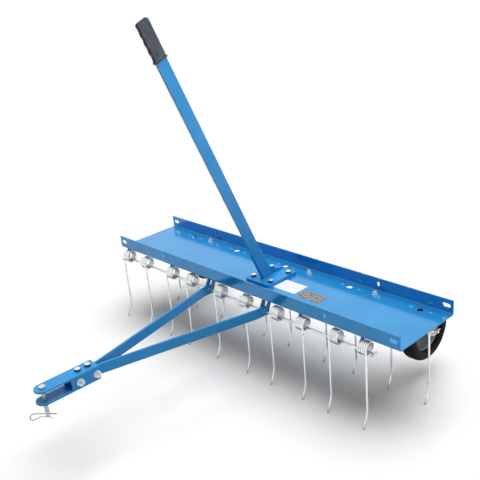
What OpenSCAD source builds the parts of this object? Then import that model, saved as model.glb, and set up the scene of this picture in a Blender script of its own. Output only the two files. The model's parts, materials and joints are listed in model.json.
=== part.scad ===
// Tow-behind lawn dethatcher: a sheet-metal tray on two rows of coil spring tines,
// with a hinged drawbar, a lift handle and two transport wheels.
// X runs across the tray, -Y points to the hitch, Z is up. The tine tips stand on Z = 0 and
// the origin lies below the middle of the whole machine. The modules are written with Y = 0
// on the outside of the tray's front flange, and centred() moves them to the origin.

/* [Tray] */
// Length of the tray across the direction of travel
tray_len = 1016; // [1010:1:1200]
// Depth of the tray over both flanges
tray_depth = 208; // [206:1:230]
// Height of the upright flanges above the tray floor
flange_h = 34; // [28:1:60]
// Thickness of the tray sheet
sheet_t = 2.5; // [1.5:0.1:4]
// Inside radius of the tray's bends
bend_r = 3; // [1:0.5:4]
// Distance of the end slots from the ends of the tray
slot_inset = 17.5; // [15:0.5:40]
// Length of the flange end slots
slot_len = 22; // [16:1:28]
// Width of the flange end slots
slot_w = 10; // [6:0.5:12]
// Height of the flange holes above the tray floor
flange_hole_z = 18.5; // [14:0.5:20]
// Distance of the upright oval holes from the middle of the tray
oval_x = 301; // [290:1:320]
// Length of the upright oval holes
oval_len = 12; // [10:0.5:14]
// Width of the upright oval holes
oval_w = 8; // [5:0.5:9]
// Diameter of the drain holes in the tray floor
drain_d = 17; // [8:0.5:18]

/* [Spring tines] */
// Diameter of the spring wire
wire_d = 4.8; // [4:0.1:4.9]
// Mean radius of the coil
coil_r = 15.5; // [14:0.5:16]
// Distance between two neighbouring turns
coil_step = 5.4; // [5.4:0.1:5.8]
// Length of the leg from the middle of the coil down to the kink
leg_len = 158.6; // [130:0.1:170]
// Length of the toe below the kink
toe_len = 39; // [20:0.5:60]
// Angle by which the toe points forward
toe_angle = 23; // [0:1:35]
// Clearance between a coil and the tray above it
coil_gap = 0.5; // [0.4:0.1:2]
// Clearance between a coil and the front rod hanger beside it
coil_side_gap = 2; // [1:0.5:3]

/* [Tine rods] */
// Diameter of the two tine rods
rod_d = 6; // [5:0.5:7]
// Distance of the front rod behind the front of the tray
front_rod_y = -2; // [-5:0.5:4]
// Distance of the rear rod behind the front of the tray
rear_rod_y = 165; // [158:0.5:166]
// Length by which the rods reach past the legs of their outermost tines
rod_over = 14; // [13:0.5:16]
// Distance of the hairpins from the rod ends
hairpin_inset = 4; // [3:0.5:5]
// Radial clearance between the rods and the holes that they run in
rod_fit = 0.08; // [0.03:0.01:0.1]
// Clearance between a coil and the rod inside it
tine_fit = 0.3; // [0.3:0.1:0.8]
// Thickness of the rod hangers
hanger_t = 3; // [2:0.5:4]
// Width of the rod hangers around the rod
hanger_w = 16; // [14:1:18]
// Diameter of the hairpin wire
hairpin_d = 2.4; // [2:0.1:2.6]

/* [Wheels] */
// Outside diameter of the wheels
wheel_d = 160; // [130:1:162]
// Width of the tyres
tyre_w = 40; // [36:1:42]
// Rounding of the tyre's shoulders
shoulder_r = 9; // [4:0.5:12]
// Diameter of the rim inside the tyre
rim_d = 110; // [100:1:126]
// Distance of the wheels' middle planes from the middle of the tray
wheel_x = 403; // [402:0.5:404]
// Distance of the axle behind the front of the tray
axle_y = 248; // [246:1:260]
// Distance of the axle below the top of the tray floor
axle_drop = 89; // [85:1:110]
// Diameter of the axle
axle_d = 12; // [10:0.5:14]
// Radial clearance between the wheel bushes and the axle
axle_fit = 0.08; // [0.03:0.01:0.1]
// Thickness of the axle hangers
axle_hanger_t = 4; // [3:0.5:5]

/* [Lift handle] */
// Distance of the handle from the middle of the tray
handle_x = 28; // [26:0.5:30]
// Length of the handle over its grip, measured from the top of the foot
handle_len = 748; // [500:1:900]
// Width of the flat handle bar
handle_w = 30; // [24:1:34]
// Thickness of the flat handle bar
handle_t = 6; // [4:0.5:8]
// Angle by which the handle leans to the hitch
handle_lean = 23.3; // [10:0.1:30]
// Distance of the handle's lower end behind the front of the tray
handle_y = 93; // [90:1:96]
// Length of the grip
grip_len = 104; // [90:1:130]
// Wall of the grip beside and above the bar
grip_wall = 4; // [3:0.5:6]
// Depth of the finger hollows in the grip
finger_depth = 1.5; // [1:0.5:4]
// Thickness of the foot plate under the handle
foot_t = 8; // [5:0.5:10]
// Distance between the foot bolts across the tray
foot_bolt_x = 62; // [56:1:66]
// Distance between the foot bolts along the direction of travel
foot_bolt_y = 68; // [60:1:70]
// Thickness of the gusset behind the handle bar
gusset_t = 5; // [3:0.5:8]
// Radius of the gusset's hollow edge
gusset_r = 70; // [50:1:70]

/* [Drawbar] */
// Height of the flat drawbars
bar_h = 25; // [20:0.5:30]
// Thickness of the flat drawbars
bar_t = 5; // [4:0.5:6]
// Distance of the drawbars' rear ends from the middle of the tray
bar_spread = 104; // [103:0.5:105]
// Distance from the front rod to the front bend of the drawbars
bar_splay_y = 424; // [300:1:500]
// Length of the parallel front part of the drawbars
bar_front_len = 74; // [72:1:90]
// Mean radius of the bends in the drawbars
bar_bend_r = 40; // [10:1:60]
// Angle by which the drawbar rises to the hitch
drawbar_rise = 0.5; // [-5:0.1:5]
// Distance between the drawbar and the cheeks of its hangers
cheek_gap = 5.5; // [4:0.5:6]

/* [Hitch] */
// Width of the hitch plates
plate_w = 38; // [36:1:50]
// Thickness of the hitch plates
plate_t = 4; // [3:0.5:8]
// Length of the cheeks between the hitch plates
cheek_len = 72; // [68:1:80]
// Thickness of the cheeks between the hitch plates
cheek_t = 3; // [2:0.5:4]
// Distance from the rear edge of the hitch plates to the first side bolt
side_bolt_inset = 9; // [8.5:0.5:12]
// Distance between the side bolts
side_bolt_pitch = 43; // [40:0.5:48]
// Distance from the drawbars' front ends to the hitch pin
pin_reach = 62; // [50:1:80]
// Diameter of the hitch pin
pin_d = 9.5; // [8:0.1:13]
// Radial clearance between the hitch pin and its holes
pin_fit = 0.1; // [0.04:0.01:0.1]
// Diameter of the hitch pin's head
pin_head_d = 15; // [13:0.5:26]
// Length of the hitch pin below the lower plate
pin_tail = 36; // [34:1:60]
// Diameter of the hitch clip's wire
clip_d = 2.4; // [2:0.1:3]
// Direction of the hitch clip, seen from above
clip_turn = 41; // [0:1:90]
// Angle by which the hitch clip hangs down
clip_tilt = 25; // [0:1:30]
// Mean radius of the hitch clip's loop
clip_loop_r = 7.5; // [6.5:0.5:9]

/* [Fasteners] */
// Diameter of the bolts
bolt_d = 8; // [6:0.5:8]
// Radial clearance between the bolts and their holes
bolt_fit = 0.3; // [0.2:0.05:0.4]
// Width of the bolt heads and nuts across their flats
hex_w = 13; // [11:0.5:13]
// Height of the bolt heads
head_h = 5.5; // [4:0.5:6]
// Height of the nuts
nut_h = 7; // [5:0.5:8]

/* [Hidden] */
fine = 48;
mid = 32;
cut = 1;

coil_rings = 8;
coil_intervals = 33;
ring_sides = 6;
first_ring = 135;
coil_out = coil_r + wire_d / 2;
coil_len = coil_step * coil_intervals / coil_rings;
coil_z = leg_len + toe_len * cos(toe_angle);
rod_drop = coil_r - (wire_d / 2 + rod_d / 2 + tine_fit) / cos(180 / coil_rings);
rod_z = coil_z - rod_drop;
tray_under = coil_z + coil_out + coil_gap;
tray_top = tray_under + sheet_t;
rod_bore = rod_d + 2 * rod_fit;
hairpin_reach = 26;
hanger_tab = 9;
front_tab = [6.5, 17];
rear_tab = [rear_rod_y - hanger_w / 2, rear_rod_y + 7];

// Places across the tray, for the 40 inch tray; they spread with a longer one
stretch = tray_len / 1016;
front_legs = [for (x = [-478, -368, -268, -183, -63, 53, 141, 247, 327, 431]) x * stretch];
rear_legs = [for (x = [-440, -344, -230, -135, -50, 46, 174, 270, 378, 482]) x * stretch];
drain_x = [for (x = [-376, -184, 8, 230, 436]) x * stretch];
// Side to which each coil runs from its leg
front_sides = [1, -1, 1, 1, 1, -1, 1, -1, 1, -1];
rear_sides = [1, -1, 1, -1, 1, -1, 1, -1, 1, -1];
// Each front hanger stands to the left of one of these coils
hanger_coils = [0, 2, 7, 9];
front_hanger_x = [for (i = hanger_coils)
    front_legs[i] - (front_sides[i] < 0 ? coil_len : 0) - wire_d / 2 - coil_side_gap - hanger_t / 2];
drain_inset = 26;
drain_y = tray_depth - drain_inset;

axle_z = tray_top - axle_drop;
axle_bolt_x = [-305, 91, 305];
axle_bolt_inset = 21;
axle_bolt_y = tray_depth - axle_bolt_inset;
axle_tab = [axle_bolt_y - 9, axle_bolt_y + 13];
axle_tab_x = [-6.5, 17.5];
axle_eye = 13;
axle_web = (axle_tab[1] - axle_tab[0]) / 2;
washer_t = 2;
side_gap = 0.3;
hub_w = tyre_w - 4;
bush_d = 17;
boss_d = 30;
rim_lip = 4;
rim_disc = 5;
washer_x = hub_w / 2 + side_gap;
cotter_d = 3;
cotter_x = washer_x + washer_t + side_gap + cotter_d / 2;
axle_end = wheel_x + cotter_x + 7;
cotter_drop = axle_d / 2 + 2 * cotter_d;

bolt_hole = bolt_d + 2 * bolt_fit;
hex_d = hex_w / cos(30);
nut_flange_d = hex_w + 4;
nut_flange_h = 1.5;
thread_out = 3;
washer_d = hex_w + 4;

foot_x = handle_x - 1;
foot_y = handle_y + 15;
foot_edge = 11;
foot_corner = 6;
foot_w = foot_bolt_x + 2 * foot_edge;
foot_depth = foot_bolt_y + 4 * foot_edge - 2;
foot_top = tray_top + foot_t;
gusset_toe = 4;
gusset_back = foot_y + foot_depth / 2 - foot_corner;
bar_half = handle_w / (2 * cos(handle_lean));
gusset_rise = gusset_r + gusset_toe;
gusset_front = handle_y - bar_half;
grip_front = finger_depth + 1.5;
grip_back = 2;
grip_round = 3;
finger_count = 4;
finger_step = (grip_len - 12) / finger_count;

bar_x = (bolt_hole + bar_t) / 2;
splay_from = 18;
splay_angle = atan((bar_spread - bar_x) / (bar_splay_y - splay_from));
bend_cut = bar_bend_r * tan(splay_angle / 2);
bend_steps = 8;
bar_end_y = bar_splay_y + bar_front_len;
pin_y = bar_end_y + pin_reach;
cheek_lead = 4;
plate_back_y = bar_end_y + cheek_lead - cheek_len;
side_bolt_y = [plate_back_y + side_bolt_inset, plate_back_y + side_bolt_inset + side_bolt_pitch];
bolt_pass_gap = 0.4;
bolt_pass = bolt_hole + bolt_pass_gap;
plate_bolt_y = [side_bolt_y[0] + bolt_pass, side_bolt_y[1] - bolt_pass];
spacer_d = hex_w;
pin_head_h = 5;
pin_chamfer = 1;
pin_low = bar_h / 2 + plate_t + pin_tail;
clip_z = 4 - pin_low;
clip_near = 20;
clip_far = 30;
clip_slope = 35;
clip_rise = (pin_d / 2 + clip_d / 2 + 0.6) / cos(clip_tilt);
cheek_x = bar_t / 2 + cheek_gap;
drawbar_spacer_d = 16;

middle_y = (axle_y + wheel_d / 2 + front_rod_y - pin_y - plate_w / 2) / 2;

paint = "#2f86cf";
zinc = "#c9cdd0";
rubber = "#1b1c1e";
rim_grey = "#8b8f94";

// Shared shapes

module centred() {
    translate([0, -middle_y, 0]) children();
}

// Cylinder along +X from x
module along_x(d, x, len, sides = fine) {
    translate([x, 0, 0]) rotate([0, 90, 0]) cylinder(d = d, h = len, $fn = sides);
}

// Profile in Y and Z, made thick along +X from x
module plate_x(x, t, outline) {
    translate([x, 0, 0]) rotate([90, 0, 90]) linear_extrude(t) polygon(outline);
}

module bore_z(d, z0, z1) {
    translate([0, 0, z0 - cut]) cylinder(d = d, h = z1 - z0 + 2 * cut, $fn = mid);
}

module washer(d, bore, t) {
    difference() {
        cylinder(d = d, h = t, $fn = mid);
        bore_z(bore, 0, t);
    }
}

// Bolt along +Z; the seat of its head is the origin and grip is what it clamps
module bolt(grip) {
    translate([0, 0, -head_h]) cylinder(d = hex_d, h = head_h, $fn = 6);
    cylinder(d = bolt_d, h = grip + nut_h + thread_out, $fn = mid);
}

module nut() {
    difference() {
        union() {
            cylinder(d = nut_flange_d, h = nut_flange_h, $fn = mid);
            cylinder(d = hex_d, h = nut_h, $fn = 6);
        }
        bore_z(bolt_d, 0, nut_h);
    }
}

// Hairpin along +Y: the inner leg crosses a pin of the given diameter at the origin,
// the outer leg passes beside it on the +Z side
module hairpin(wire, pin, reach) {
    rise = pin / 2 + wire / 2 + 0.6;
    loop_y = -reach / 2;
    elbow_y = loop_y + reach * 0.72;
    translate([0, loop_y, 0]) rotate([-90, 0, 0]) cylinder(d = wire, h = reach, $fn = 16);
    translate([0, loop_y, rise]) rotate([-90, 0, 0]) cylinder(d = wire, h = elbow_y - loop_y, $fn = 16);
    translate([0, loop_y, rise / 2]) rotate([0, 90, 0]) rotate([0, 0, -180])
        rotate_extrude(angle = 180, $fn = mid) translate([rise / 2, 0]) circle(d = wire, $fn = 16);
    translate([0, elbow_y - wire / 2, rise]) rotate([-50, 0, 0])
        cylinder(d = wire * 0.8, h = 0.2 * reach, $fn = 16);
}

// Tray

module tray_bend() {
    out_r = bend_r + sheet_t;
    translate([-tray_len / 2, out_r, out_r]) rotate([0, 90, 0]) rotate([0, 0, -90])
        rotate_extrude(angle = 90, $fn = fine) translate([bend_r, 0]) square([sheet_t, tray_len]);
}

module tray_sheet() {
    out_r = bend_r + sheet_t;
    translate([-tray_len / 2, out_r, 0]) cube([tray_len, tray_depth - 2 * out_r, sheet_t]);
    for (y = [0, tray_depth - sheet_t]) translate([-tray_len / 2, y, out_r])
        cube([tray_len, sheet_t, flange_h + sheet_t - out_r]);
    tray_bend();
    translate([0, tray_depth, 0]) mirror([0, 1, 0]) tray_bend();
}

// Slot through a flange; its long way is X and its axis is Y
module flange_slot(len, w) {
    run = len - w;
    depth = 3 * sheet_t;
    for (x = [-run / 2, run / 2]) translate([x, depth / 2, 0]) rotate([90, 0, 0])
        cylinder(d = w, h = depth, $fn = fine);
    translate([-run / 2, -depth / 2, -w / 2]) cube([run, depth, w]);
}

module foot_bolt_places() {
    for (x = [-1, 1]) for (y = [-1, 1])
        translate([foot_x + x * foot_bolt_x / 2, foot_y + y * foot_bolt_y / 2, 0]) children();
}

module axle_bolt_places() {
    for (x = axle_bolt_x) translate([x, axle_bolt_y, 0]) children();
}

module tray() {
    color(paint) translate([0, 0, tray_under]) difference() {
        tray_sheet();
        for (y = [sheet_t / 2, tray_depth - sheet_t / 2]) for (side = [-1, 1])
            translate([0, y, sheet_t + flange_hole_z]) {
                translate([side * (tray_len / 2 - slot_inset), 0, 0]) flange_slot(slot_len, slot_w);
                translate([side * oval_x, 0, 0]) rotate([0, 90, 0]) flange_slot(oval_len, oval_w);
            }
        for (x = drain_x) {
            translate([x, drain_y, 0]) bore_z(drain_d, 0, sheet_t);
            translate([-x, tray_depth - drain_y, 0]) bore_z(drain_d, 0, sheet_t);
        }
        axle_bolt_places() bore_z(bolt_hole, 0, sheet_t);
        foot_bolt_places() bore_z(bolt_hole, 0, sheet_t);
    }
}

// Tine rods and what holds them

function rod_ends(legs) = [legs[0] - rod_over, legs[len(legs) - 1] + rod_over];
function hairpin_places(legs) = [rod_ends(legs)[0] + hairpin_inset, rod_ends(legs)[1] - hairpin_inset];

module tine_rod(legs, y) {
    ends = rod_ends(legs);
    color(zinc) translate([0, y, rod_z]) difference() {
        along_x(rod_d, ends[0], ends[1] - ends[0]);
        for (x = hairpin_places(legs)) translate([x, rod_d, 0]) rotate([90, 0, 0])
            cylinder(d = hairpin_d + 0.4, h = 2 * rod_d, $fn = mid);
    }
}

module front_rod() {
    tine_rod(front_legs, front_rod_y);
}

module rear_rod() {
    tine_rod(rear_legs, rear_rod_y);
}

// Ear around a rod, welded under the tray over the given span of Y
module rod_ear(x, y, span) {
    half = hanger_w / 2;
    difference() {
        union() {
            plate_x(x - hanger_t / 2, hanger_t, [[y - half, rod_z], [y + half, rod_z],
                [span[1], tray_under], [span[0], tray_under]]);
            translate([0, y, rod_z]) along_x(hanger_w, x - hanger_t / 2, hanger_t);
        }
        translate([0, y, rod_z]) along_x(rod_bore, x - hanger_t, 2 * hanger_t);
    }
}

module rod_hanger(x, y, span) {
    rod_ear(x, y, span);
    translate([x - hanger_tab, span[0], tray_under - hanger_t])
        cube([hanger_tab, span[1] - span[0], hanger_t]);
}

module front_rod_hangers() {
    color(paint) for (x = front_hanger_x) rod_hanger(x, front_rod_y, front_tab);
}

module rear_rod_hangers() {
    color(paint) for (x = drain_x) rod_hanger(x, rear_rod_y, rear_tab);
}

module drawbar_hangers() {
    ear_x = cheek_x + hanger_t / 2;
    color(paint) for (side = [-1, 1]) {
        for (cheek = [-1, 1]) rod_ear(side * bar_spread + cheek * ear_x, front_rod_y, front_tab);
        translate([side * bar_spread - ear_x, front_tab[0], tray_under - hanger_t])
            cube([2 * ear_x, front_tab[1] - front_tab[0], hanger_t]);
    }
}

module drawbar_spacers() {
    len = cheek_gap - 2 * side_gap;
    color(zinc) for (side = [-1, 1]) for (cheek = [-1, 1])
        translate([side * bar_spread + cheek * (bar_t + cheek_gap) / 2 - len / 2, front_rod_y, rod_z])
            rotate([0, 90, 0]) washer(drawbar_spacer_d, rod_bore, len);
}

module rod_hairpins() {
    color(zinc) for (row = [[front_legs, front_rod_y], [rear_legs, rear_rod_y]])
        for (x = hairpin_places(row[0])) translate([x, row[1], rod_z]) mirror([0, 0, 1])
            hairpin(hairpin_d, rod_d, hairpin_reach);
}

// Spring tines

// Stations along the wire: position X, Y, Z and the Y and Z of the ring's outward arm
function coil_station(i) =
    let (a = first_ring + 360 * i / coil_rings)
    [coil_len - coil_step * i / coil_rings,
        coil_r * cos(a), coil_z + coil_r * sin(a), cos(a), sin(a)];

function tail_station() =
    let (s = coil_station(0))
    [s[0], s[1] + wire_d * sin(first_ring), s[2] - wire_d * cos(first_ring), s[3], s[4]];

kink_tilt = tan(toe_angle / 2);
toe_y = toe_len * sin(toe_angle);
wire_stations = concat(
    [tail_station()],
    [for (i = [0 : coil_intervals]) coil_station(i)],
    [[0, -coil_r, coil_z - leg_len, -1, kink_tilt]],
    [[0, -coil_r - toe_y, 0, -1 / cos(toe_angle), 0]]);

function ring_point(s, k) =
    let (a = 360 * k / ring_sides + 30, out = cos(a) * wire_d / 2)
    [s[0] + sin(a) * wire_d / 2, s[1] + out * s[3], s[2] + out * s[4]];

wire_points = [for (s = wire_stations) for (k = [0 : ring_sides - 1]) ring_point(s, k)];
last_ring = (len(wire_stations) - 1) * ring_sides;
wire_faces = concat(
    [for (i = [0 : len(wire_stations) - 2]) for (k = [0 : ring_sides - 1]) for (half = [0, 1])
        let (a = i * ring_sides + k, b = i * ring_sides + (k + 1) % ring_sides)
        half == 0 ? [a, b, a + ring_sides] : [b, b + ring_sides, a + ring_sides]],
    [for (k = [1 : ring_sides - 2]) [0, k + 1, k]],
    [for (k = [1 : ring_sides - 2]) [last_ring, last_ring + k, last_ring + k + 1]]);

// Least distance between parts of the wire that lie more than half a turn apart
gap_steps = 4;
function along_wire(n) =
    let (i = floor(n / gap_steps), f = n / gap_steps - i, p = wire_stations[i], q = wire_stations[i + 1])
    [for (c = [0 : 2]) p[c] * (1 - f) + q[c] * f];
centre_line = [for (n = [0 : gap_steps * (len(wire_stations) - 2)]) along_wire(n)];
turn_half = gap_steps * coil_rings / 2;
least_gap = min([for (i = [0 : len(centre_line) - 1])
    for (j = [i + turn_half : 1 : len(centre_line) - 1]) norm(centre_line[i] - centre_line[j])]) - wire_d;
echo(least_gap_of_a_tine = least_gap);

// The leg stands at x; a coil that runs to the other side is a mirror image
module tine(x, side, y) {
    color(zinc) translate([x, y, 0]) mirror([(1 - side) / 2, 0, 0])
        polyhedron(points = wire_points, faces = wire_faces, convexity = 10);
}

module front_tine(index) {
    tine(front_legs[index - 1], front_sides[index - 1], front_rod_y);
}

module rear_tine(index) {
    tine(rear_legs[index - 1], rear_sides[index - 1], rear_rod_y);
}

// Axle and wheels

module axle() {
    color(zinc) translate([0, axle_y, axle_z]) difference() {
        along_x(axle_d, -axle_end, 2 * axle_end);
        for (x = [-wheel_x - cotter_x, -wheel_x + cotter_x, wheel_x - cotter_x, wheel_x + cotter_x])
            translate([x, 0, 0]) bore_z(cotter_d + 0.4, -axle_d, axle_d);
    }
}

module axle_hanger(x) {
    wall_x = x + axle_tab_x[1] - axle_hanger_t;
    top_y = axle_tab[1] - axle_web;
    lean = atan2(axle_y - top_y, tray_under - axle_z);
    arm = [axle_eye * cos(lean), axle_eye * sin(lean)];
    difference() {
        union() {
            translate([x + axle_tab_x[0], axle_tab[0], tray_under - axle_hanger_t])
                cube([axle_tab_x[1] - axle_tab_x[0], 2 * axle_web, axle_hanger_t]);
            plate_x(wall_x, axle_hanger_t, [[axle_tab[0], tray_under], [axle_y - arm[0], axle_z - arm[1]],
                [axle_y + arm[0], axle_z + arm[1]], [axle_tab[1], tray_under]]);
            translate([0, axle_y, axle_z]) along_x(2 * axle_eye, wall_x, axle_hanger_t);
        }
        translate([0, axle_y, axle_z]) along_x(axle_d, wall_x - cut, axle_hanger_t + 2 * cut);
        translate([x, axle_bolt_y, 0]) bore_z(bolt_hole, tray_under - axle_hanger_t, tray_under);
    }
}

module axle_hangers() {
    color(paint) for (x = axle_bolt_x) axle_hanger(x);
}

module axle_hanger_bolts() {
    color(zinc) axle_bolt_places() translate([0, 0, tray_under - axle_hanger_t])
        bolt(axle_hanger_t + sheet_t);
}

module axle_hanger_nuts() {
    color(zinc) axle_bolt_places() translate([0, 0, tray_top]) nut();
}

module axle_washers() {
    color(zinc) for (side = [-1, 1]) for (x = [-washer_x - washer_t, washer_x])
        translate([side * wheel_x + x, axle_y, axle_z]) rotate([0, 90, 0])
            washer(boss_d - 4, axle_d + 0.2, washer_t);
}

module cotter() {
    translate([0, 0, -cotter_drop]) cylinder(d = cotter_d, h = 2 * cotter_drop, $fn = 24);
    translate([-cotter_d / 2, 0, cotter_drop + 0.8 * cotter_d]) rotate([0, 90, 0])
        washer(3 * cotter_d, 1.3 * cotter_d, cotter_d);
    for (spread = [-130, 130]) translate([0, 0, -cotter_drop]) rotate([spread, 0, 0])
        cylinder(d = cotter_d / 2, h = 2.3 * cotter_d, $fn = 16);
}

module axle_cotters() {
    color(zinc) for (side = [-1, 1]) for (x = [-cotter_x, cotter_x])
        translate([side * wheel_x + x, axle_y, axle_z]) cotter();
}

// A wheel's parts lie about the X axis; the outside of the wheel looks to +X
module tyre() {
    r = wheel_d / 2;
    flat = tyre_w / 2 - shoulder_r;
    color(rubber) rotate([0, 90, 0]) difference() {
        union() {
            translate([0, 0, -flat]) cylinder(r = r, h = 2 * flat, $fn = 96);
            translate([0, 0, -tyre_w / 2]) cylinder(r = r - shoulder_r, h = tyre_w, $fn = 96);
            for (z = [-flat, flat]) translate([0, 0, z]) rotate_extrude($fn = 96)
                translate([r - shoulder_r, 0]) circle(r = shoulder_r, $fn = fine);
        }
        translate([0, 0, -tyre_w / 2 - cut]) cylinder(d = rim_d, h = tyre_w + 2 * cut, $fn = 96);
        for (z = [-flat / 2, flat / 2]) translate([0, 0, z - 1]) difference() {
            cylinder(r = r + cut, h = 2, $fn = 96);
            translate([0, 0, -cut]) cylinder(r = r - 1.5, h = 2 + 2 * cut, $fn = 96);
        }
    }
}

module rim() {
    r = rim_d / 2;
    w = hub_w / 2;
    color(rim_grey) rotate([0, 90, 0]) rotate_extrude($fn = 96) polygon([
        [bush_d / 2, -w], [boss_d / 2, -w], [boss_d / 2 + 1, -rim_disc], [r * 0.55, -rim_disc],
        [r - rim_lip - 6, -rim_disc - 4], [r - rim_lip - 2, -w + 2], [r - rim_lip, -w], [r, -w],
        [r, w], [r - rim_lip, w], [r - rim_lip - 1, w - 3], [r - rim_lip - 5, 5], [r * 0.55, 1],
        [boss_d / 2 + 1, 1], [boss_d / 2, w], [bush_d / 2, w]]);
}

module bush() {
    color(zinc) rotate([0, 90, 0]) translate([0, 0, -hub_w / 2])
        washer(bush_d, axle_d + 2 * axle_fit, hub_w);
}

// Puts a wheel part in place: side 1 is the right wheel, side -1 its mirror image
module on_wheel(side) {
    translate([side * wheel_x, axle_y, axle_z]) mirror([(1 - side) / 2, 0, 0]) children();
}

// Lift handle

module handle_foot() {
    color(paint) difference() {
        translate([foot_x, foot_y, tray_top]) union() {
            translate([-foot_w / 2 + foot_corner, -foot_depth / 2, 0])
                cube([foot_w - 2 * foot_corner, foot_depth, foot_t]);
            translate([-foot_w / 2, -foot_depth / 2 + foot_corner, 0])
                cube([foot_w, foot_depth - 2 * foot_corner, foot_t]);
            for (x = [-1, 1]) for (y = [-1, 1])
                translate([x * (foot_w / 2 - foot_corner), y * (foot_depth / 2 - foot_corner), 0])
                    cylinder(r = foot_corner, h = foot_t, $fn = mid);
        }
        foot_bolt_places() bore_z(bolt_hole, tray_top, foot_top);
    }
}

module handle_gusset() {
    rise = [gusset_front - tan(handle_lean) * gusset_rise, foot_top + gusset_rise];
    color(paint) translate([handle_x - handle_t / 2 - gusset_t, 0, 0]) difference() {
        plate_x(0, gusset_t, [[gusset_front, foot_top], [gusset_back, foot_top],
            [gusset_back, foot_top + gusset_rise], rise]);
        translate([0, gusset_back, foot_top + gusset_rise])
            along_x(2 * gusset_r, -cut, gusset_t + 2 * cut);
    }
}

module on_handle() {
    translate([handle_x, handle_y, foot_top]) rotate([handle_lean, 0, 0]) children();
}

module handle_bar() {
    bar_len = handle_len - grip_wall;
    color(paint) intersection() {
        on_handle() translate([-handle_t / 2, -handle_w / 2, -handle_w])
            cube([handle_t, handle_w, bar_len + handle_w]);
        translate([handle_x - handle_t, handle_y - handle_len, foot_top])
            cube([2 * handle_t, 2 * handle_len, handle_len]);
    }
}

module handle_grip() {
    out_x = handle_t / 2 + grip_wall;
    out_y = [-handle_w / 2 - grip_front, handle_w / 2 + grip_back];
    color(rubber) on_handle() translate([0, 0, handle_len - grip_len]) difference() {
        union() {
            translate([-out_x + grip_round, out_y[0], 0])
                cube([2 * (out_x - grip_round), out_y[1] - out_y[0], grip_len]);
            translate([-out_x, out_y[0] + grip_round, 0])
                cube([2 * out_x, out_y[1] - out_y[0] - 2 * grip_round, grip_len]);
            for (x = [-1, 1]) for (y = [out_y[0] + grip_round, out_y[1] - grip_round])
                translate([x * (out_x - grip_round), y, 0]) cylinder(r = grip_round, h = grip_len, $fn = mid);
        }
        translate([-handle_t / 2, -handle_w / 2, -cut]) cube([handle_t, handle_w, grip_len - grip_wall + cut]);
        for (i = [0 : finger_count - 1])
            translate([0, out_y[0] - finger_step / 2, 6 + (i + 0.5) * finger_step])
                along_x(finger_step + 2 * finger_depth, -out_x - cut, 2 * (out_x + cut));
    }
}

module foot_bolts() {
    color(zinc) foot_bolt_places() translate([0, 0, foot_top]) mirror([0, 0, 1])
        bolt(sheet_t + foot_t);
}

module foot_nuts() {
    color(zinc) foot_bolt_places() translate([0, 0, tray_under]) mirror([0, 0, 1]) nut();
}

// Drawbar; its own frame has the rod that it turns on as the origin

module on_drawbar() {
    translate([0, front_rod_y, rod_z]) rotate([-drawbar_rise, 0, 0]) children();
}

function bend_arc(centre, r, from, to) =
    [for (i = [0 : bend_steps]) let (a = from + (to - from) * i / bend_steps)
        [centre[0] + r * cos(a), centre[1] + r * sin(a)]];

// The right drawbar seen from above, from the rod to its front end
rear_centre = [bar_spread - bar_bend_r, bend_cut - splay_from];
front_centre = [bar_x + bar_bend_r, -bar_splay_y - bend_cut];
bar_outline = concat([[bar_spread + bar_t / 2, 0]],
    bend_arc(rear_centre, bar_bend_r + bar_t / 2, 0, -splay_angle),
    bend_arc(front_centre, bar_bend_r - bar_t / 2, 180 - splay_angle, 180),
    [[bar_x + bar_t / 2, -bar_end_y], [bar_x - bar_t / 2, -bar_end_y]],
    bend_arc(front_centre, bar_bend_r + bar_t / 2, 180, 180 - splay_angle),
    bend_arc(rear_centre, bar_bend_r - bar_t / 2, -splay_angle, 0),
    [[bar_spread - bar_t / 2, 0]]);

module drawbar(side) {
    color(paint) on_drawbar() mirror([(1 - side) / 2, 0, 0]) difference() {
        union() {
            along_x(bar_h, bar_spread - bar_t / 2, bar_t);
            translate([0, 0, -bar_h / 2]) linear_extrude(bar_h) polygon(bar_outline);
        }
        along_x(rod_bore, bar_spread - bar_t, 2 * bar_t);
        for (y = side_bolt_y) translate([0, -y, 0]) along_x(bolt_hole, bar_x - bar_t, 2 * bar_t, mid);
    }
}

module hitch_plate(z) {
    color(paint) on_drawbar() translate([0, 0, z]) difference() {
        union() {
            translate([-plate_w / 2, -pin_y, 0]) cube([plate_w, pin_y - plate_back_y, plate_t]);
            translate([0, -pin_y, 0]) cylinder(d = plate_w, h = plate_t, $fn = 96);
        }
        translate([0, -pin_y, 0]) bore_z(pin_d + 2 * pin_fit, 0, plate_t);
        for (y = plate_bolt_y) translate([0, -y, 0]) bore_z(bolt_hole, 0, plate_t);
    }
}

module hitch_plate_upper() {
    hitch_plate(bar_h / 2);
}

module hitch_plate_lower() {
    hitch_plate(-bar_h / 2 - plate_t);
}

// Upright strips at the edges of the hitch plates; the side bolts hold the drawbars between them
module hitch_cheeks() {
    color(paint) on_drawbar() difference() {
        for (x = [-plate_w / 2, plate_w / 2 - cheek_t])
            translate([x, -plate_back_y - cheek_len, -bar_h / 2]) cube([cheek_t, cheek_len, bar_h]);
        for (y = side_bolt_y) translate([0, -y, 0]) along_x(bolt_hole, -plate_w, 2 * plate_w, mid);
    }
}

module plate_bolts() {
    grip = bar_h + 2 * plate_t;
    color(zinc) on_drawbar() for (y = plate_bolt_y)
        translate([0, -y, grip / 2]) mirror([0, 0, 1]) bolt(grip);
}

module plate_nuts() {
    color(zinc) on_drawbar() for (y = plate_bolt_y)
        translate([0, -y, -bar_h / 2 - plate_t]) mirror([0, 0, 1]) nut();
}

module side_bolts() {
    color(zinc) on_drawbar() for (y = side_bolt_y)
        translate([-plate_w / 2 - washer_t, -y, 0]) rotate([0, 90, 0]) bolt(plate_w + 2 * washer_t);
}

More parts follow.
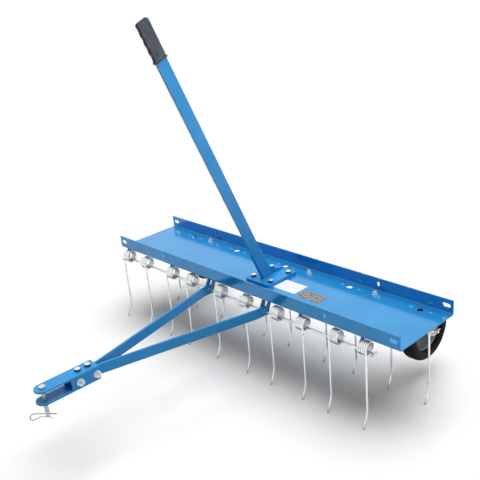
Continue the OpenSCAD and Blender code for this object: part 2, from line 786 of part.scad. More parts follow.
module side_nuts() {
    color(zinc) on_drawbar() for (y = side_bolt_y)
        translate([plate_w / 2 + washer_t, -y, 0]) rotate([0, 90, 0]) nut();
}

module side_washers() {
    color(zinc) on_drawbar() for (y = side_bolt_y) for (x = [-plate_w / 2 - washer_t, plate_w / 2])
        translate([x, -y, 0]) rotate([0, 90, 0]) washer(washer_d, bolt_hole, washer_t);
}

module side_spacers() {
    inner_x = bar_x + bar_t / 2;
    len = plate_w / 2 - cheek_t - inner_x;
    color(zinc) on_drawbar() for (y = side_bolt_y) for (x = [-inner_x - len, inner_x])
        translate([x, -y, 0]) rotate([0, 90, 0]) washer(spacer_d, bolt_hole, len);
}

module hitch_pin() {
    seat = bar_h / 2 + plate_t;
    color(zinc) on_drawbar() translate([0, -pin_y, 0]) difference() {
        union() {
            translate([0, 0, seat]) cylinder(d = pin_head_d, h = pin_head_h - 1, $fn = fine);
            translate([0, 0, seat + pin_head_h - 1])
                cylinder(d1 = pin_head_d, d2 = pin_head_d - 2, h = 1, $fn = fine);
            translate([0, 0, pin_chamfer - pin_low])
                cylinder(d = pin_d, h = pin_low - pin_chamfer + seat, $fn = fine);
            translate([0, 0, -pin_low])
                cylinder(d1 = pin_d - 2 * pin_chamfer, d2 = pin_d, h = pin_chamfer, $fn = fine);
        }
        translate([0, 0, clip_z]) rotate([0, 0, clip_turn - 90]) translate([0, -pin_d, 0])
            rotate([-90, 0, 0]) cylinder(d = clip_d + 0.4, h = 2 * pin_d, $fn = mid);
    }
}

// The straight leg goes through the pin, the bowed leg passes beside it
module hitch_clip() {
    loop_top = 2 * clip_loop_r;
    top_end = 2 * clip_d - clip_far;
    slant = (loop_top - clip_rise) / sin(clip_slope);
    elbow_y = top_end - clip_d / 2 + slant * cos(clip_slope);
    color(zinc) on_drawbar() translate([0, -pin_y, clip_z]) rotate([0, 0, clip_turn - 90])
        rotate([0, 90 + clip_tilt, 0]) {
            translate([0, -clip_far, 0]) rotate([-90, 0, 0])
                cylinder(d = clip_d, h = clip_far + clip_near, $fn = 16);
            translate([0, -clip_far, loop_top]) rotate([-90, 0, 0])
                cylinder(d = clip_d, h = 2 * clip_d, $fn = 16);
            translate([0, -clip_far, clip_loop_r]) rotate([0, 90, 0]) rotate([0, 0, -180])
                rotate_extrude(angle = 180, $fn = mid)
                    translate([clip_loop_r, 0]) circle(d = clip_d, $fn = 16);
            translate([0, top_end - clip_d / 2, loop_top]) rotate([-90 - clip_slope, 0, 0])
                cylinder(d = 0.85 * clip_d, h = slant, $fn = 16);
            translate([0, elbow_y - clip_d / 3, clip_rise]) rotate([-90, 0, 0])
                cylinder(d = 0.72 * clip_d, h = pin_d - elbow_y, $fn = 16);
            translate([0, pin_d - clip_d / 2, clip_rise]) rotate([-60, 0, 0])
                cylinder(d = 0.6 * clip_d, h = 0.8 * pin_d, $fn = 16);
        }
}

centred() tray();
centred() front_rod();
centred() rear_rod();
centred() front_rod_hangers();
centred() rear_rod_hangers();
centred() drawbar_hangers();
centred() drawbar_spacers();
centred() rod_hairpins();
centred() front_tine(1);  // front_tine_01
centred() front_tine(2);  // front_tine_02
centred() front_tine(3);  // front_tine_03
centred() front_tine(4);  // front_tine_04
centred() front_tine(5);  // front_tine_05
centred() front_tine(6);  // front_tine_06
centred() front_tine(7);  // front_tine_07
centred() front_tine(8);  // front_tine_08
centred() front_tine(9);  // front_tine_09
centred() front_tine(10);  // front_tine_10
centred() rear_tine(1);  // rear_tine_01
centred() rear_tine(2);  // rear_tine_02
centred() rear_tine(3);  // rear_tine_03
centred() rear_tine(4);  // rear_tine_04
centred() rear_tine(5);  // rear_tine_05
centred() rear_tine(6);  // rear_tine_06
centred() rear_tine(7);  // rear_tine_07
centred() rear_tine(8);  // rear_tine_08
centred() rear_tine(9);  // rear_tine_09
centred() rear_tine(10);  // rear_tine_10
centred() axle();
centred() axle_hangers();
centred() axle_hanger_bolts();
centred() axle_hanger_nuts();
centred() axle_washers();
centred() axle_cotters();
centred() on_wheel(-1) tyre();  // left_tyre
centred() on_wheel(-1) rim();  // left_rim
centred() on_wheel(-1) bush();  // left_bush
centred() on_wheel(1) tyre();  // right_tyre
centred() on_wheel(1) rim();  // right_rim
centred() on_wheel(1) bush();  // right_bush
centred() handle_foot();
centred() handle_gusset();
centred() handle_bar();
centred() handle_grip();
centred() foot_bolts();
centred() foot_nuts();
centred() drawbar(-1);  // left_drawbar
centred() drawbar(1);  // right_drawbar
centred() hitch_plate_upper();
centred() hitch_plate_lower();
centred() hitch_cheeks();
centred() plate_bolts();
centred() plate_nuts();
centred() side_bolts();
centred() side_nuts();
centred() side_washers();
centred() side_spacers();
centred() hitch_pin();
centred() hitch_clip();
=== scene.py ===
"""Looks for the tow-behind lawn dethatcher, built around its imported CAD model."""

import json
import math

import bmesh
import bpy
from mathutils import Matrix, Vector


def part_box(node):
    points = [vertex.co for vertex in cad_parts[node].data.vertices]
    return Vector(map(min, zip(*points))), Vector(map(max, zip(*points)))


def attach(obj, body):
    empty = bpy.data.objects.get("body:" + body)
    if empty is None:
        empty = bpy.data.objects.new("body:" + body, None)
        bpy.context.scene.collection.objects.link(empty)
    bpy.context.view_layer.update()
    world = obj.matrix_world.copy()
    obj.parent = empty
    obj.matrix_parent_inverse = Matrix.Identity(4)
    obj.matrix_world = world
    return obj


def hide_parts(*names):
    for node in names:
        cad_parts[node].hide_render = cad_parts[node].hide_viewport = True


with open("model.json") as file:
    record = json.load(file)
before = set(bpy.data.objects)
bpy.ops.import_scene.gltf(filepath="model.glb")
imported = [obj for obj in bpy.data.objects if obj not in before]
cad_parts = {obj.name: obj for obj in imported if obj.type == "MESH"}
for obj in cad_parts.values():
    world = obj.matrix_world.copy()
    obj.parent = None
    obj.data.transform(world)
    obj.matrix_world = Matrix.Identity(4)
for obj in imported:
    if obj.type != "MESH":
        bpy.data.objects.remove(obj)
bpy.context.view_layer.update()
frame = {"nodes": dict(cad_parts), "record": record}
NODES = frame["nodes"]
rad = math.radians

# Top of the tray floor and outside of the front flange, in metres
TRAY_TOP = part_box("handle_foot")[0][2]
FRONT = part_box("tray")[0][1]
ROWS = {"front": FRONT - 0.002, "rear": FRONT + 0.165}
# Foot of the handle's middle line, its lean and its length
HANDLE = Vector((0.028, FRONT + 0.093, TRAY_TOP + 0.008))
LEAN = rad(23.3)
HANDLE_LEN = 0.748

# ---------------------------------------------------------------- node tools


class Mat:
    """A material whose nodes are made and joined by short calls."""

    def __init__(self, name):
        self.mat = bpy.data.materials.new(name)
        self.mat.use_nodes = True
        self.nodes = self.mat.node_tree.nodes
        self.links = self.mat.node_tree.links
        self.out = self.nodes["Material Output"]
        self.shader = self.nodes["Principled BSDF"]

    def radius(self, at, node):
        """Distance from the axle line of a wheel node."""
        low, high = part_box(node)
        x, y, z = self.xyz(at)
        dy = self.math("SUBTRACT", y, (low[1] + high[1]) / 2)
        dz = self.math("SUBTRACT", z, (low[2] + high[2]) / 2)
        return self.math("SQRT", self.math("ADD", self.math("MULTIPLY", dy, dy),
                                           self.math("MULTIPLY", dz, dz)))

    def link(self, source, target):
        self.links.new(source, target)

    def feed(self, socket, value):
        if hasattr(value, "is_output"):
            self.link(value, socket)
        elif value is not None:
            socket.default_value = value

    def set(self, **values):
        for name, value in values.items():
            self.feed(self.shader.inputs[name.replace("_", " ")], value)
        return self

    def coords(self, kind="Object"):
        return self.nodes.new("ShaderNodeTexCoord").outputs[kind]

    def stretch(self, vector, scale):
        node = self.nodes.new("ShaderNodeMapping")
        self.link(vector, node.inputs["Vector"])
        node.inputs["Scale"].default_value = scale
        return node.outputs["Vector"]

    def noise(self, vector, scale, detail=3.0, rough=0.55):
        node = self.nodes.new("ShaderNodeTexNoise")
        self.link(vector, node.inputs["Vector"])
        node.inputs["Scale"].default_value = scale
        node.inputs["Detail"].default_value = detail
        node.inputs["Roughness"].default_value = rough
        return node.outputs["Fac"]

    def math(self, how, a, b=0.0):
        node = self.nodes.new("ShaderNodeMath")
        node.operation = how
        self.feed(node.inputs[0], a)
        self.feed(node.inputs[1], b)
        return node.outputs[0]

    def span(self, value, low, high, out_low, out_high):
        node = self.nodes.new("ShaderNodeMapRange")
        self.feed(node.inputs[0], value)
        for i, number in enumerate((low, high, out_low, out_high)):
            node.inputs[i + 1].default_value = number
        return node.outputs[0]

    def mix(self, factor, a, b, how="MIX"):
        node = self.nodes.new("ShaderNodeMix")
        node.data_type = "RGBA"
        node.blend_type = how
        self.feed(node.inputs[0], factor)
        for socket, value in ((node.inputs[6], a), (node.inputs[7], b)):
            self.feed(socket, (*value, 1) if isinstance(value, tuple) and len(value) == 3 else value)
        return node.outputs[2]

    def xyz(self, vector):
        node = self.nodes.new("ShaderNodeSeparateXYZ")
        self.link(vector, node.inputs[0])
        return node.outputs

    def bump(self, height, strength, distance, normal=None):
        node = self.nodes.new("ShaderNodeBump")
        self.link(height, node.inputs["Height"])
        node.inputs["Strength"].default_value = strength
        node.inputs["Distance"].default_value = distance
        if normal is not None:
            self.link(normal, node.inputs["Normal"])
        return node.outputs["Normal"]

    def rounded(self, radius, samples=6):
        node = self.nodes.new("ShaderNodeBevel")
        node.samples = samples
        node.inputs["Radius"].default_value = radius
        return node.outputs["Normal"]

    def edge(self, radius):
        """1 on sharp edges and 0 elsewhere, from how far the rounded normal turns."""
        geometry = self.nodes.new("ShaderNodeNewGeometry")
        node = self.nodes.new("ShaderNodeVectorMath")
        node.operation = "DOT_PRODUCT"
        self.link(self.rounded(radius), node.inputs[0])
        self.link(geometry.outputs["Normal"], node.inputs[1])
        return self.span(node.outputs["Value"], 0.99, 0.75, 0.0, 1.0)


# ---------------------------------------------------------------- materials


def paint(name, deep, light, smooth=0.24, coat=0.2, flake=0.0):
    """Glossy powder coat: fine orange peel, faint cloudiness, and a painted highlight that makes it paler along
    the edges.
    """
    m = Mat(name)
    at = m.coords()
    cloud = m.noise(at, 9.0, 4.0)
    colour = m.mix(m.span(cloud, 0.35, 0.7, 0.0, 1.0), deep, light)
    # Painted highlight: sharp edges are mixed towards a pale cyan blue.
    edge = m.edge(0.0012)
    colour = m.mix(m.math("MULTIPLY", edge, 0.45), colour, (0.10, 0.45, 0.85))
    peel = m.noise(at, 900.0, 2.0)
    fine = m.noise(at, 60.0, 3.0)
    normal = m.bump(peel, 0.10, 0.0002, m.rounded(0.0009))
    m.set(Base_Color=colour, Roughness=m.span(fine, 0.3, 0.7, smooth, smooth + 0.10), Normal=normal)
    m.shader.inputs["Metallic"].default_value = flake
    m.shader.inputs["Coat Weight"].default_value = coat
    m.shader.inputs["Coat Roughness"].default_value = 0.08
    m.shader.inputs["Specular IOR Level"].default_value = 0.35
    return m.mat


def plated(name, tone, dark, rough, grain=(1, 1, 1), painted_shade_heights=(-0.9, -0.3), deep=0.25):
    """Zinc plate: bright metal with cloudy spots, a faint yellow cast and fine scratches.

    Faces turned down past the given normal heights, higher than 0.13 to 0.15 m, are darkened towards the deep grey
    as painted shade."""
    m = Mat(name)
    at = m.coords()
    spots = m.noise(at, 140.0, 5.0, 0.6)
    cast = m.noise(at, 35.0, 2.0)
    colour = m.mix(m.span(spots, 0.35, 0.75, 0.0, 1.0), tone, dark)
    colour = m.mix(m.span(cast, 0.45, 0.8, 0.0, 0.35), colour, (0.75, 0.70, 0.58))
    # Painted shade: faces turned down are mixed towards the deep grey, only higher than 0.13 to 0.15 m.
    up = m.xyz(m.nodes.new("ShaderNodeNewGeometry").outputs["Normal"])[2]
    shade = m.math("MULTIPLY", m.span(up, painted_shade_heights[0], painted_shade_heights[1], 1.0, 0.0),
                   m.span(m.xyz(at)[2], 0.13, 0.15, 0.0, 1.0))
    colour = m.mix(shade, colour, (deep, deep, deep * 1.05))
    scratch = m.noise(m.stretch(at, grain), 700.0, 2.0)
    normal = m.bump(scratch, 0.18, 0.0002, m.rounded(0.0005))
    m.set(Base_Color=colour, Metallic=1.0, Roughness=m.span(spots, 0.3, 0.8, rough, rough + 0.18), Normal=normal)
    return m.mat


def rubber():
    """Tyre rubber with moulding grain, sidewall rings and dust on the tread."""
    m = Mat("tyre_rubber")
    at = m.coords()
    radius = m.radius(at, "right_tyre")
    rings = m.math("SINE", m.math("MULTIPLY", radius, 2600.0))
    side = m.span(radius, 0.070, 0.074, 1.0, 0.0)
    grain = m.noise(at, 500.0, 4.0)
    dust = m.span(m.noise(at, 45.0, 4.0), 0.45, 0.8, 0.0, 0.35)
    colour = m.mix(dust, (0.004, 0.0036, 0.004), (0.014, 0.013, 0.013))
    height = m.math("ADD", m.math("MULTIPLY", m.math("MULTIPLY", rings, side), 0.5), grain)
    m.set(Base_Color=colour, Roughness=m.span(grain, 0.3, 0.7, 0.55, 0.75), Normal=m.bump(height, 0.35, 0.0004))
    m.shader.inputs["Specular IOR Level"].default_value = 0.18
    return m.mat


def rim_plastic():
    """Grey moulded rim: a bright lip painted as a highlight, darker in the dish, faint turning rings."""
    m = Mat("rim_grey")
    at = m.coords()
    radius = m.radius(at, "right_tyre")
    # Painted highlight: a pale band on the lip at the rim's outer edge.
    lip = m.span(radius, 0.0505, 0.0525, 0.0, 1.0)
    hub = m.span(radius, 0.0235, 0.0215, 0.0, 0.6)
    cloud = m.span(m.noise(at, 30.0, 4.0), 0.3, 0.75, 0.0, 1.0)
    dish = m.mix(cloud, (0.070, 0.085, 0.115), (0.115, 0.130, 0.165))
    colour = m.mix(m.math("MAXIMUM", lip, hub), dish, (0.40, 0.43, 0.48))
    rings = m.math("SINE", m.math("MULTIPLY", radius, 3200.0))
    normal = m.bump(rings, 0.12, 0.0002, m.rounded(0.0008))
    m.set(Base_Color=colour, Roughness=m.span(cloud, 0.0, 1.0, 0.30, 0.42), Normal=normal)
    return m.mat


def plastic(name, tone, other, rough, scale=700.0, depth=0.0003, radius=0.0008):
    """Moulded plastic: spark-eroded grain and slight flow marks."""
    m = Mat(name)
    at = m.coords()
    flow = m.noise(m.stretch(at, (1.0, 1.0, 0.35)), 24.0, 3.0)
    colour = m.mix(m.span(flow, 0.35, 0.7, 0.0, 1.0), tone, other)
    grain = m.noise(at, scale, 3.0)
    normal = m.bump(grain, 0.25, depth, m.rounded(radius))
    m.set(Base_Color=colour, Roughness=m.span(grain, 0.3, 0.7, rough, rough + 0.12), Normal=normal)
    return m.mat


def grip_rubber():
    """Soft grip: fine ribs along its length, dull grey flanks, a front painted black as shade, and a darker top.
    """
    m = Mat("grip_plastic")
    at = m.coords()
    x, y, z = m.xyz(at)
    across = m.math("ADD", m.math("MULTIPLY", y, math.cos(LEAN)), m.math("MULTIPLY", z, math.sin(LEAN)))
    ribs = m.math("SINE", m.math("MULTIPLY", across, 2600.0))
    wear = m.noise(m.stretch(at, (1.0, 1.0, 0.5)), 160.0, 4.0)
    colour = m.mix(m.span(wear, 0.35, 0.7, 0.0, 1.0), (0.050, 0.060, 0.082), (0.105, 0.120, 0.150))
    colour = m.mix(m.span(ribs, -0.2, 1.0, 0.0, 0.35), colour, (0.045, 0.050, 0.075))
    # Painted shade: faces turned forwards are painted near black. Faces turned up are painted darker.
    turned = m.xyz(m.nodes.new("ShaderNodeNewGeometry").outputs["Normal"])
    colour = m.mix(m.span(turned[1], -0.80, -0.30, 1.0, 0.0), colour, (0.006, 0.005, 0.014))
    colour = m.mix(m.span(turned[2], 0.35, 0.65, 0.0, 0.7), colour, (0.030, 0.030, 0.032))
    m.set(Base_Color=colour, Roughness=m.span(wear, 0.3, 0.7, 0.42, 0.55),
          Normal=m.bump(m.math("ADD", ribs, wear), 0.4, 0.0004, m.rounded(0.0008)))
    m.shader.inputs["Specular IOR Level"].default_value = 0.3
    return m.mat


BLUE = paint("blue_powder_coat", (0.012, 0.262, 0.62), (0.017, 0.300, 0.69), 0.30, 0.1)
WELD = paint("blue_weld_marks", (0.10, 0.42, 0.80), (0.20, 0.55, 0.88), 0.3)
SHEET = paint("blue_tray_sheet", (0.018, 0.300, 0.67), (0.026, 0.345, 0.75), 0.12, 0.32, 0.3)
BAR = paint("blue_handle_paint", (0.034, 0.290, 0.65), (0.052, 0.330, 0.71), 0.30, 0.1)
# In each plated tone the last two values set painted shade: the normal heights past which faces darken and the
# grey they darken to. It shades the bolts' sides, the pin head's sides and the top of its shank, and the lower
# faces of the coils.
ZINC = plated("bright_zinc", (0.90, 0.91, 0.92), (0.70, 0.71, 0.72), 0.26)
PIN = plated("pin_zinc", (0.86, 0.86, 0.86), (0.62, 0.61, 0.60), 0.34, painted_shade_heights=(-0.1, 0.5), deep=0.35)
SIDE = plated("side_bolt_zinc", (0.62, 0.61, 0.60), (0.42, 0.41, 0.40), 0.38)
CLIP = plated("clip_wire", (0.42, 0.37, 0.33), (0.26, 0.23, 0.21), 0.35)
BOLT = plated("bolt_zinc", (0.92, 0.92, 0.93), (0.78, 0.79, 0.80), 0.26, painted_shade_heights=(0.2, 0.6), deep=0.07)
SPRING = plated("spring_wire", (0.94, 0.93, 0.91), (0.72, 0.71, 0.69), 0.16, (1, 1, 0.1), (-0.70, -0.05), 0.025)
TYRE = rubber()
RIM = rim_plastic()
BUSH = plastic("bush_plastic", (0.62, 0.61, 0.56), (0.70, 0.69, 0.64), 0.42)
GRIP = grip_rubber()

SLOT_MATS = {"blue_paint": BLUE, "zinc_steel": ZINC, "spring_steel": SPRING, "tyre": TYRE,
             "wheel_plastic": RIM, "bush_plastic": BUSH, "grip_plastic": GRIP}
OWN_MATS = {"tray": SHEET, "handle_bar": BAR, "foot_bolts": BOLT, "plate_bolts": BOLT, "hitch_pin": PIN,
            "side_bolts": SIDE, "hitch_clip": CLIP}
NODE_SLOT = {entry["node"]: entry["material_slot"] for entry in frame["record"]["subparts"]}


def dress(obj, mat):
    obj.data.materials.clear()
    obj.data.materials.append(mat)


for name, obj in NODES.items():
    dress(obj, OWN_MATS.get(name, SLOT_MATS[NODE_SLOT[name]]))

# ---------------------------------------------------------------- mesh tools


def new_object(name, bm, mat, body, smooth=True):
    mesh = bpy.data.meshes.new(name)
    bm.normal_update()
    bm.to_mesh(mesh)
    bm.free()
    for polygon in mesh.polygons:
        polygon.use_smooth = smooth
    obj = bpy.data.objects.new(name, mesh)
    bpy.context.scene.collection.objects.link(obj)
    dress(obj, mat)
    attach(obj, body)
    return obj


def tube(bm, points, radius, sides=12, flat_end=None):
    """One round tube along points; flat_end is the height at which its last ring is cut level."""
    rings = []
    count = len(points)
    side = None
    for i, point in enumerate(points):
        ahead = points[min(i + 1, count - 1)] - points[max(i - 1, 0)]
        ahead.normalize()
        if side is None:
            side = ahead.orthogonal().normalized()
        side = (side - ahead * side.dot(ahead)).normalized()
        other = ahead.cross(side)
        ring = []
        for k in range(sides):
            turn = 2 * math.pi * k / sides
            spot = point + (side * math.cos(turn) + other * math.sin(turn)) * radius
            if flat_end is not None and i == count - 1:
                spot -= ahead * ((spot.z - flat_end) / ahead.z)
            ring.append(bm.verts.new(spot))
        rings.append(ring)
    for a, b in zip(rings, rings[1:]):
        for k in range(sides):
            bm.faces.new((a[k], a[(k + 1) % sides], b[(k + 1) % sides], b[k]))
    bm.faces.new(rings[0][::-1])
    bm.faces.new(rings[-1])


# ---------------------------------------------------------------- spring tines

WIRE = 0.0048
COIL_R = 0.0155
COIL_STEP = 0.0054
TURNS = 33 / 8
LEG = 0.1586
TOE = 0.039
TOE_TURN = rad(23)
# Where each leg stands across the tray, and the side to which its coil runs, as in the CAD
LEGS = {"front": ((-0.478, 1), (-0.368, -1), (-0.268, 1), (-0.183, 1), (-0.063, 1),
                  (0.053, -1), (0.141, 1), (0.247, -1), (0.327, 1), (0.431, -1)),
        "rear": ((-0.440, 1), (-0.344, -1), (-0.230, 1), (-0.135, -1), (-0.050, 1),
                 (0.046, -1), (0.174, 1), (0.270, -1), (0.378, 1), (0.482, -1))}


def tine_path():
    """Middle line of a tine whose coil runs to +X from its leg at X = 0."""
    centre_z = LEG + TOE * math.cos(TOE_TURN)
    length = COIL_STEP * TURNS
    first = rad(135)
    start = Vector((length, COIL_R * math.cos(first), centre_z + COIL_R * math.sin(first)))
    tail = Vector((0, math.sin(first), -math.cos(first)))
    points = [start + tail * WIRE, start + tail * WIRE * 0.5]
    steps = 120
    for i in range(steps + 1):
        turn = first + TURNS * 2 * math.pi * i / steps
        points.append(Vector((length - length * i / steps,
                              COIL_R * math.cos(turn), centre_z + COIL_R * math.sin(turn))))
    kink = Vector((0, -COIL_R, centre_z - LEG))
    toe = Vector((0, -math.sin(TOE_TURN), -math.cos(TOE_TURN)))
    bend = 0.010
    for k in range(1, 8):
        points.append(Vector((0, -COIL_R, centre_z - (LEG - bend) * k / 7)))
    before = kink + Vector((0, 0, bend))
    after = kink + toe * bend
    for k in range(1, 6):
        t = k / 5
        points.append(before * (1 - t) ** 2 + kink * 2 * t * (1 - t) + after * t ** 2)
    points += [kink + toe * TOE * 0.6, kink + toe * TOE]
    return points


PATH = tine_path()
for row, rod_y in ROWS.items():
    for i, (x, flip) in enumerate(LEGS[row]):
        name = "%s_tine_%02d" % (row, i + 1)
        bm = bmesh.new()
        tube(bm, [Vector((x + flip * p.x, rod_y + p.y, p.z)) for p in PATH], WIRE / 2, 12, 0.0)
        bmesh.ops.recalc_face_normals(bm, faces=bm.faces)
        wire = new_object(name + "_wire", bm, SPRING, name + "_spring")
        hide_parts(name)

# ---------------------------------------------------------------- wheels


def lathe(name, profile, node, side, mat):
    """Turns a closed profile of X and radius about the axle; it replaces the wheel's node."""
    low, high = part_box(node)
    middle = Vector([(low[i] + high[i]) / 2 for i in range(3)])
    bm = bmesh.new()
    rings = []
    for k in range(120):
        turn = 2 * math.pi * k / 120
        rings.append([bm.verts.new(middle + Vector((side * x, r * math.cos(turn), r * math.sin(turn))))
                      for x, r in profile])
    count = len(profile)
    for a, b in zip(rings, rings[1:] + rings[:1]):
        for k in range(count):
            n = (k + 1) % count
            bm.faces.new((a[k], a[n], b[n], b[k]))
    bmesh.ops.recalc_face_normals(bm, faces=bm.faces)
    for edge in bm.edges:
        if len(edge.link_faces) == 2 and edge.calc_face_angle() > rad(35):
            edge.smooth = False
    obj = new_object(name, bm, mat, node.split("_")[0] + "_wheel")
    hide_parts(node)


def tyre_profile():
    half = [(0.0, 0.0786), (0.0042, 0.0786), (0.0048, 0.0799), (0.0095, 0.0797), (0.0101, 0.0784),
            (0.0118, 0.0782), (0.0124, 0.0789), (0.0150, 0.0775), (0.0176, 0.0745), (0.0192, 0.0710),
            (0.0199, 0.0672), (0.0199, 0.0650), (0.0194, 0.0646), (0.0194, 0.0634), (0.0198, 0.0630),
            (0.0194, 0.0598), (0.0180, 0.0570), (0.0166, 0.0556), (0.0150, 0.0552)]
    low = [(-x, r) for x, r in half[1:]][::-1]
    return low + half


RIM_PROFILE = [(-0.0180, 0.0086), (-0.0180, 0.0140), (-0.0170, 0.0150), (-0.0070, 0.0162), (-0.0060, 0.0300),
               (-0.0100, 0.0480), (-0.0130, 0.0510), (-0.0145, 0.0530), (-0.0140, 0.0550), (0.0085, 0.0550),
               (0.0092, 0.0540), (0.0088, 0.0524), (0.0074, 0.0514), (0.0050, 0.0500), (0.0022, 0.0460),
               (0.0008, 0.0400), (0.0002, 0.0330), (0.0006, 0.0262), (0.0040, 0.0244), (0.0068, 0.0240),
               (0.0078, 0.0228), (0.0068, 0.0212), (0.0040, 0.0204), (0.0034, 0.0168), (0.0170, 0.0150),
               (0.0180, 0.0140), (0.0180, 0.0086)]
for word, side in (("left", -1), ("right", 1)):
    lathe(word + "_tyre_moulding", tyre_profile(), word + "_tyre", side, TYRE)
    lathe(word + "_rim_moulding", RIM_PROFILE, word + "_rim", side, RIM)

# ---------------------------------------------------------------- handle grip


def grip():
    """Sleeve with four finger hollows in front, a collar below and a bevelled cap."""
    turn = Matrix.Rotation(LEAN, 3, "X")
    low, top = HANDLE_LEN - 0.094, HANDLE_LEN
    step = (top - low - 0.010) / 4
    levels = [(low, 0.0008), (low + 0.0006, 0.0014), (low + 0.003, 0.0014), (low + 0.0036, 0.0)]
    levels += [(low + 0.005 + (top - low - 0.011) * k / 64, 0.0) for k in range(65)]
    levels += [(top - 0.0045, -0.0003), (top - 0.0028, -0.0012), (top - 0.0010, -0.0024), (top, -0.0042)]
    bm = bmesh.new()
    rings = []
    for z, out in levels:
        wave = 0.0
        if low + 0.005 <= z <= top - 0.005:
            wave = 0.0013 * (0.5 - 0.5 * math.cos(2 * math.pi * (z - low - 0.005) / step))
        half_x, front, back, corner = 0.0055 + out, -0.0165 - out + wave, 0.0160 + out, 0.0018
        ring = []
        for cx, cy, start in ((half_x, back, 0), (-half_x, back, 90), (-half_x, front, 180), (half_x, front, 270)):
            sx = cx - corner * (1 if cx > 0 else -1)
            sy = cy - corner * (1 if cy > 0 else -1)
            for k in range(5):
                a = rad(start + 22.5 * k)
                spot = Vector((sx + corner * math.cos(a), sy + corner * math.sin(a), z))
                ring.append(bm.verts.new(HANDLE + turn @ spot))
        rings.append(ring)
    count = len(rings[0])
    for a, b in zip(rings, rings[1:]):
        for k in range(count):
            n = (k + 1) % count
            bm.faces.new((a[k], a[n], b[n], b[k]))
    bm.faces.new(rings[0][::-1])
    bm.faces.new(rings[-1])
    bmesh.ops.recalc_face_normals(bm, faces=bm.faces)
    for edge in bm.edges:
        if len(edge.link_faces) == 2 and edge.calc_face_angle() > rad(40):
            edge.smooth = False
    obj = new_object("handle_grip_sleeve", bm, GRIP, "frame")
    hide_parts("handle_grip")


grip()

# ---------------------------------------------------------------- small pieces on the tray


def plate(name, x, y, thick, corner, mat):
    """Thin plate with rounded corners lying on the tray floor."""
    bm = bmesh.new()
    ring = []
    for cx, cy, start in ((x[1], y[1], 0), (x[0], y[1], 90), (x[0], y[0], 180), (x[1], y[0], 270)):
        sx = cx - corner if start in (0, 270) else cx + corner
        sy = cy - corner if start in (0, 90) else cy + corner
        for k in range(7):
            turn = rad(start + 15 * k)
            ring.append((sx + corner * math.cos(turn), sy + corner * math.sin(turn)))
    low = [bm.verts.new((px, py, TRAY_TOP)) for px, py in ring]
    high = [bm.verts.new((px, py, TRAY_TOP + thick)) for px, py in ring]
    bm.faces.new(low[::-1])
    bm.faces.new(high)
    for k in range(len(ring)):
        n = (k + 1) % len(ring)
        bm.faces.new((low[k], low[n], high[n], high[k]))
    return new_object(name, bm, mat, "frame", smooth=False)


def label_mat(name, tone, other, scale, sharp):
    """Film label: mottled print in two tones."""
    m = Mat(name)
    at = m.coords()
    spots = m.noise(m.stretch(at, (0.5, 1.0, 1.0)), scale, 3.0, 0.7)
    m.set(Base_Color=m.mix(m.span(spots, 0.5 - sharp, 0.5 + sharp, 0.0, 1.0), tone, other),
          Roughness=m.span(m.noise(at, 300.0), 0.3, 0.7, 0.28, 0.40), Normal=m.bump(spots, 0.1, 0.0002))
    return m.mat


WHITE_LABEL = label_mat("white_label", (0.80, 0.81, 0.83), (0.90, 0.90, 0.90), 260.0, 0.12)
GREY_LABEL = label_mat("grey_label", (0.085, 0.072, 0.066), (0.40, 0.37, 0.35), 190.0, 0.10)
for label, x, y, mat in (("white_label_plate", (0.072, 0.145), (0.068, 0.120), WHITE_LABEL),
                         ("grey_label_plate", (0.153, 0.227), (0.065, 0.101), GREY_LABEL)):
    plate(label, x, (FRONT + y[0], FRONT + y[1]), 0.0004, 0.002, mat)


def weld_marks():
    """Low pairs of spots where the hangers below are welded, beside each drain hole."""
    bm = bmesh.new()
    for hole in (-0.376, -0.184, 0.008, 0.230, 0.436):
        for x, y in ((hole, 0.182), (-hole, 0.026)):
            for dx in (-0.0245, 0.0290):
                centre = Vector((x + dx, FRONT + y, TRAY_TOP - 0.0002))
                top = bm.verts.new(centre + Vector((0, 0, 0.0015)))
                last = None
                for size, rise in ((0.35, 0.0014), (0.7, 0.0010), (1.0, 0.0)):
                    ring = [bm.verts.new(centre + Vector((0.0058 * size * math.cos(rad(a)),
                                                          0.0034 * size * math.sin(rad(a)), rise)))
                            for a in range(0, 360, 30)]
                    for k in range(12):
                        n = (k + 1) % 12
                        bm.faces.new((top, ring[k], ring[n]) if last is None
                                     else (last[k], ring[k], ring[n], last[n]))
                    last = ring
                bm.faces.new(last[::-1])
    bmesh.ops.recalc_face_normals(bm, faces=bm.faces)
    new_object("tray_weld_marks", bm, WELD, "frame")


weld_marks()

# ---------------------------------------------------------------- stage


def seen(m):
    """1 for rays that show the background: from the camera, from gloss and through glass."""
    path = m.nodes.new("ShaderNodeLightPath").outputs
    return m.math("MAXIMUM", path["Is Camera Ray"],
                  m.math("MAXIMUM", path["Is Glossy Ray"], path["Is Transmission Ray"]))


def white_floor():
    m = Mat("studio_floor")
    at = m.coords("Generated")
    show = seen(m)
    tone = m.mix(m.noise(at, 40.0), (0.870, 0.900, 0.945), (0.880, 0.910, 0.955))
    camera_ray = m.nodes.new("ShaderNodeLightPath").outputs["Is Camera Ray"]
    m.set(Base_Color=m.mix(show, (0.42, 0.42, 0.42), tone), Roughness=1.0,
          Emission_Color=m.mix(camera_ray, (0.6, 0.6, 0.6), (1.0, 0.64, 0.05)),
          Emission_Strength=m.math("MULTIPLY", show, 0.085))
    m.shader.inputs["Specular IOR Level"].default_value = 0.0
    return m.mat


bpy.ops.mesh.primitive_plane_add(size=60, location=(0, 0, -0.0005))
floor = bpy.context.object
floor.name = "studio_floor"
dress(floor, white_floor())


class World(Mat):
    """The world's nodes, reached by the same short calls."""

    def __init__(self, world):
        world.use_nodes = True
        self.nodes = world.node_tree.nodes
        self.links = world.node_tree.links


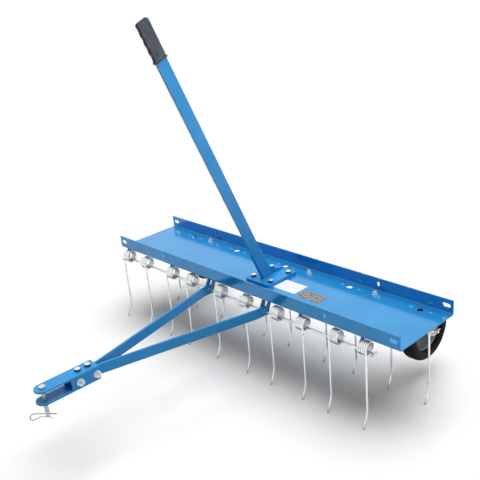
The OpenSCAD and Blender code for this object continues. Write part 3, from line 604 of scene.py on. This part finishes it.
def soft_world():
    """White light, strongest from straight above; seen as plain white."""
    world = bpy.data.worlds.new("studio")
    bpy.context.scene.world = world
    m = World(world)
    back = m.nodes["Background"]
    back.inputs[0].default_value = (1, 1, 1, 1)
    height = m.xyz(m.coords("Generated"))[2]
    soft = m.math("ADD", m.math("MULTIPLY", m.math("POWER", m.math("MAXIMUM", height, 0.0), 2.5), 0.46), 0.01)
    show = seen(m)
    m.link(m.math("MAXIMUM", show, soft), back.inputs[1])


soft_world()


def sun(name, way, power, width):
    data = bpy.data.lights.new(name, "SUN")
    data.energy = power
    data.angle = rad(width)
    obj = bpy.data.objects.new(name, data)
    bpy.context.scene.collection.objects.link(obj)
    obj.visible_glossy = False
    obj.rotation_euler = (-Vector(way)).to_track_quat("-Z", "Y").to_euler()


sun("key", (0.10, 0.19, 1.0), 2.72, 58)


def soft_box(name, place, target, size, power):
    data = bpy.data.lights.new(name, "AREA")
    data.energy = power
    data.size = size
    data.spread = rad(40)
    obj = bpy.data.objects.new(name, data)
    bpy.context.scene.collection.objects.link(obj)
    obj.visible_glossy = False
    obj.location = place
    obj.rotation_euler = (Vector(target) - Vector(place)).to_track_quat("-Z", "Y").to_euler()


soft_box("fill", (1.7, -0.30, 0.95), (0.0, -0.20, 0.80), 0.8, 1.5)

# ---------------------------------------------------------------- camera


def camera():
    azimuth, elevation, roll = rad(48.392), rad(21.674), rad(-5.472)
    back = Vector((math.sin(azimuth) * math.cos(elevation), -math.cos(azimuth) * math.cos(elevation),
                   math.sin(elevation)))
    right = Vector((math.cos(azimuth), math.sin(azimuth), 0))
    up = back.cross(right)
    c, s = math.cos(roll), math.sin(roll)
    right, up = right * c + up * s, up * c - right * s
    data = bpy.data.cameras.new("camera")
    data.sensor_width = 36
    data.lens = 36 * 725.485 / 480
    obj = bpy.data.objects.new("camera", data)
    bpy.context.scene.collection.objects.link(obj)
    eye = Vector((1.2849, FRONT - 1.1075, 0.8084 + TRAY_TOP))
    obj.matrix_world = Matrix(((right.x, up.x, back.x, eye.x), (right.y, up.y, back.y, eye.y),
                               (right.z, up.z, back.z, eye.z), (0, 0, 0, 1)))
    bpy.context.scene.camera = obj


camera()
scene = bpy.context.scene
scene.view_settings.view_transform = "Standard"
